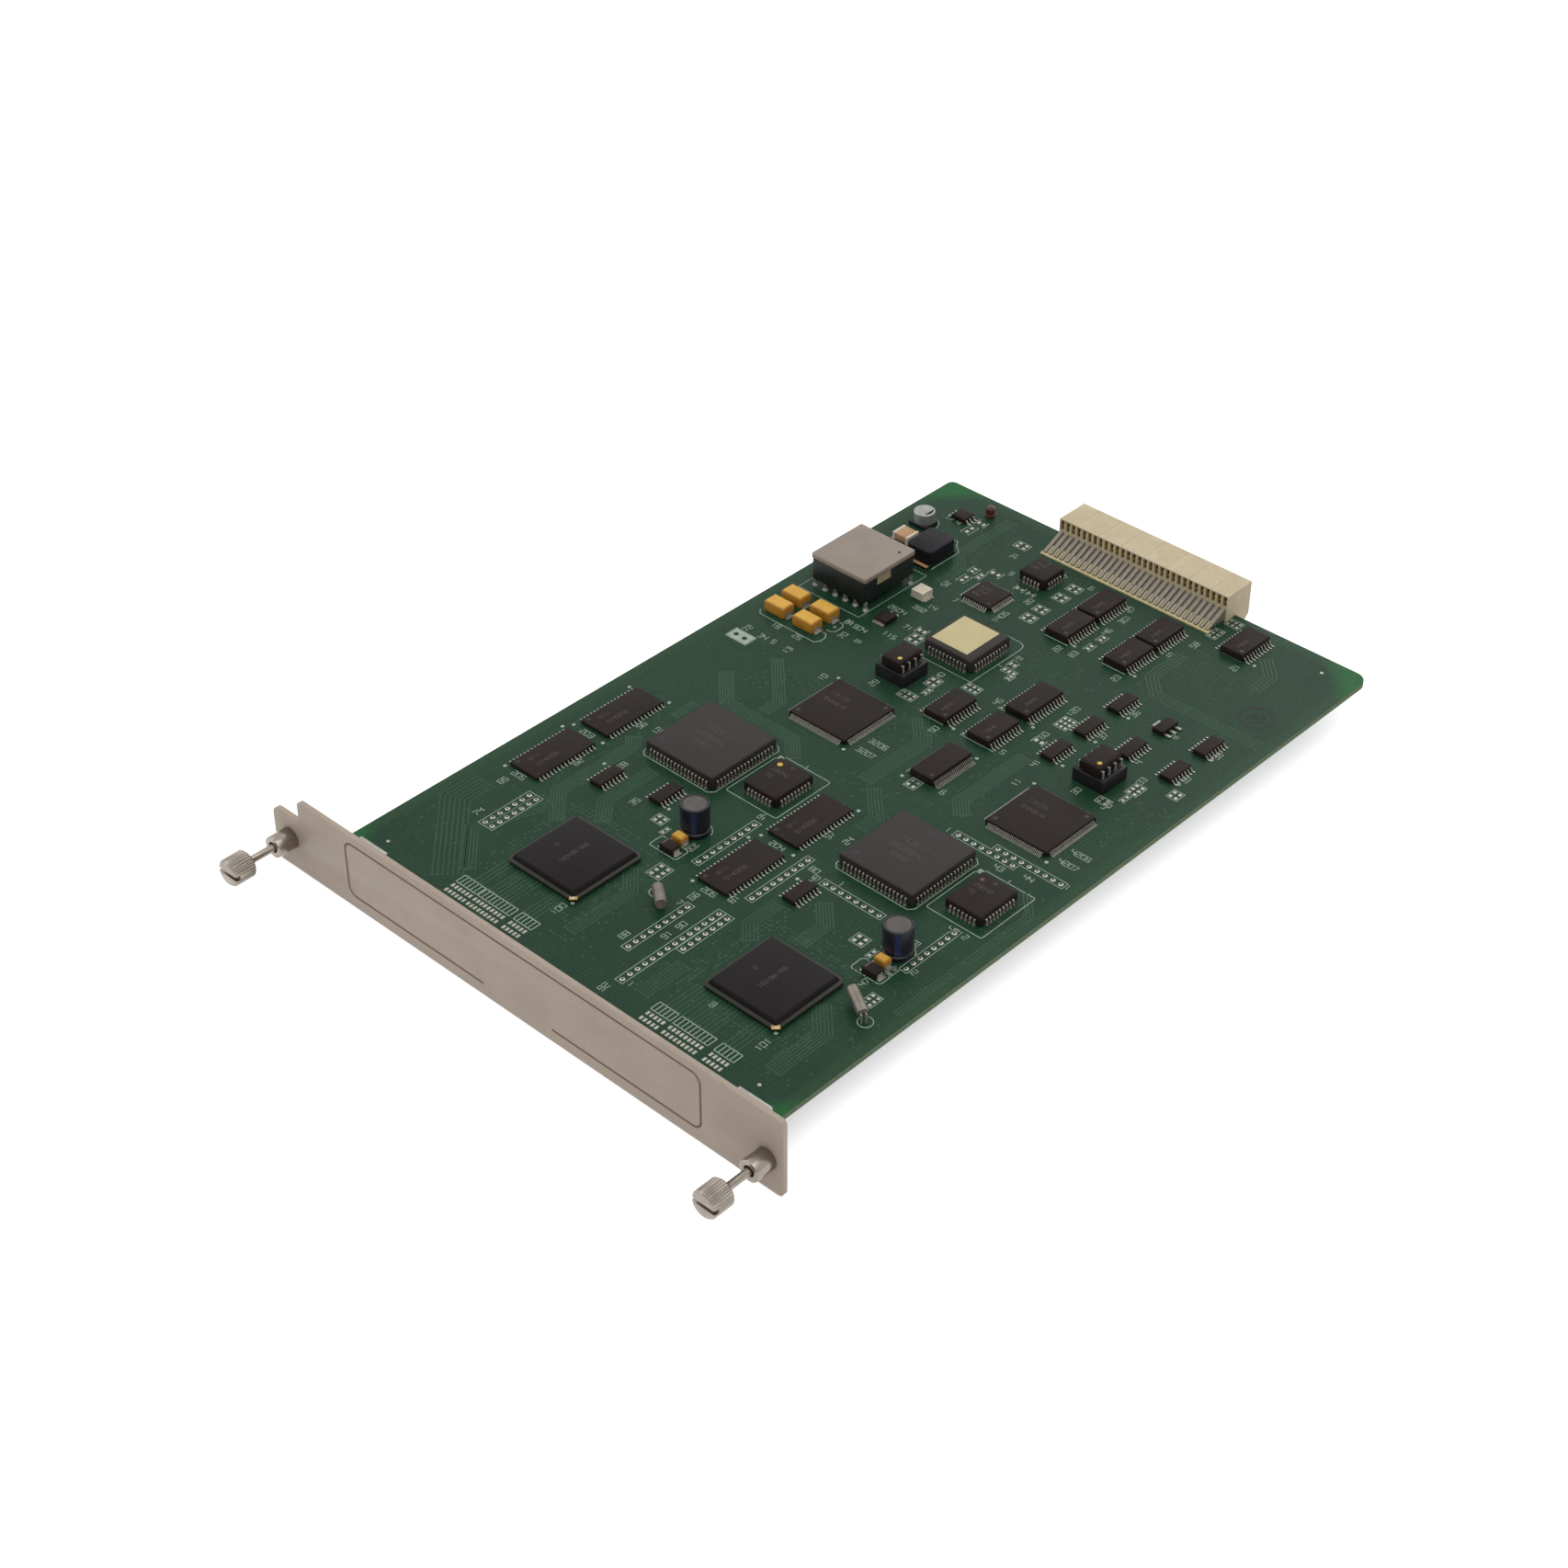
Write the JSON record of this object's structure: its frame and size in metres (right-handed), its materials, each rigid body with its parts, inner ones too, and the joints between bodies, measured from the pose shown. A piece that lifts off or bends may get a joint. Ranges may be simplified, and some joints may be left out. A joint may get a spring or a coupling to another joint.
{
  "type": "inverse multiplexer module",
  "caption": "Plug-in circuit card with a front panel, captive thumbscrews and a multi-row rear connector, which spreads one fast data stream over several slower lines.",
  "frame": {"origin": "middle of the connector's mating face, level with the board's top face", "axes": "+X along the panel to the right seen from the front, +Y from the panel to the connector, +Z out of the board's top face"},
  "size_m": [0.179, 0.27, 0.0237],
  "materials": {
    "solder_mask": "satin green solder mask over glass-epoxy laminate",
    "panel_paint": "fine-textured warm grey powder coat",
    "plated_steel": "zinc-plated sheet steel",
    "nickel": "satin nickel plate over turned steel",
    "connector_plastic": "beige glass-filled moulding",
    "contact_gold": "gold flash on the contact blades",
    "tinned_tail": "bright tin plate",
    "chip_epoxy": "black moulding compound",
    "array_laminate": "dark laminate under the array lids",
    "label_paper": "cream paper label",
    "converter_aluminium": "bead-blasted aluminium base plate",
    "converter_potting": "dark potting compound",
    "ferrite": "pressed ferrite",
    "ceramic": "cream fired ceramic",
    "tantalum_resin": "orange-yellow moulded resin",
    "can_aluminium": "drawn aluminium can",
    "can_sleeve": "shrunk dark sleeve",
    "socket_plastic": "black moulded polyester",
    "lamp_plastic": "brown-red diffused lens"
  },
  "bodies": {
    "root": {"bracket_screws": "plated_steel", "bus_chips": "chip_epoxy", "ceramic_capacitors": "ceramic", "chip_label": "label_paper", "circuit_board": "solder_mask", "clock_chip": "chip_epoxy", "connector_blades": "contact_gold", "connector_housing": "connector_plastic", "connector_tails_1": "tinned_tail", "connector_tails_2": "tinned_tail", "connector_tails_3": "tinned_tail", "connector_tails_4": "tinned_tail", "connector_tails_5": "tinned_tail", "converter_body": "converter_potting", "converter_pins": "tinned_tail", "converter_plate": "converter_aluminium", "crystal_wires": "tinned_tail", "front_panel": "panel_paint", "inductor_base": "ceramic", "inductor_core": "ferrite", "left_array_base": "array_laminate", "left_array_lid": "chip_epoxy", "left_boot_chip": "chip_epoxy", "left_bracket": "plated_steel", "left_bridge_chip": "chip_epoxy", "left_chip_socket": "socket_plastic", "left_crystal": "can_aluminium", "left_ferrule": "nickel", "left_line_chip": "chip_epoxy", "left_radial_capacitor": "can_sleeve", "left_socketed_chip": "chip_epoxy", "logic_chips": "chip_epoxy", "memory_chips": "chip_epoxy", "plug_in_chip": "chip_epoxy", "protection_diodes": "chip_epoxy", "regulator_chips": "chip_epoxy", "right_array_base": "array_laminate", "right_array_lid": "chip_epoxy", "right_boot_chip": "chip_epoxy", "right_bracket": "plated_steel", "right_bridge_chip": "chip_epoxy", "right_chip_socket": "socket_plastic", "right_crystal": "can_aluminium", "right_ferrule": "nickel", "right_line_chip": "chip_epoxy", "right_radial_capacitor": "can_sleeve", "right_socketed_chip": "chip_epoxy", "small_tantalums": "tantalum_resin", "socketed_chip_legs": "tinned_tail", "status_lamp": "lamp_plastic", "surface_can": "can_aluminium", "surface_can_base": "socket_plastic", "tail_organizer": "connector_plastic", "tantalum_capacitors": "tantalum_resin", "timing_chip": "chip_epoxy"},
    "left_ring": {"left_retaining_ring": "nickel"},
    "left_screw": {"left_thumbscrew": "nickel"},
    "right_ring": {"right_retaining_ring": "nickel"},
    "right_screw": {"right_thumbscrew": "nickel"}
  },
  "joints": [
    {"name": "left_screw_push", "type": "slide", "parent": "root", "child": "left_ring", "axis": [0, 1, 0], "range_m": [0, 0.0076]},
    {"name": "left_screw_turn", "type": "hinge", "parent": "left_ring", "child": "left_screw", "pos_m": [-0.0883, 0, -0.0032], "axis": [0, 1, 0], "continuous": true},
    {"name": "right_screw_push", "type": "slide", "parent": "root", "child": "right_ring", "axis": [0, 1, 0], "range_m": [0, 0.0076]},
    {"name": "right_screw_turn", "type": "hinge", "parent": "right_ring", "child": "right_screw", "pos_m": [0.0792, 0, -0.0032], "axis": [0, 1, 0], "continuous": true}
  ]
}
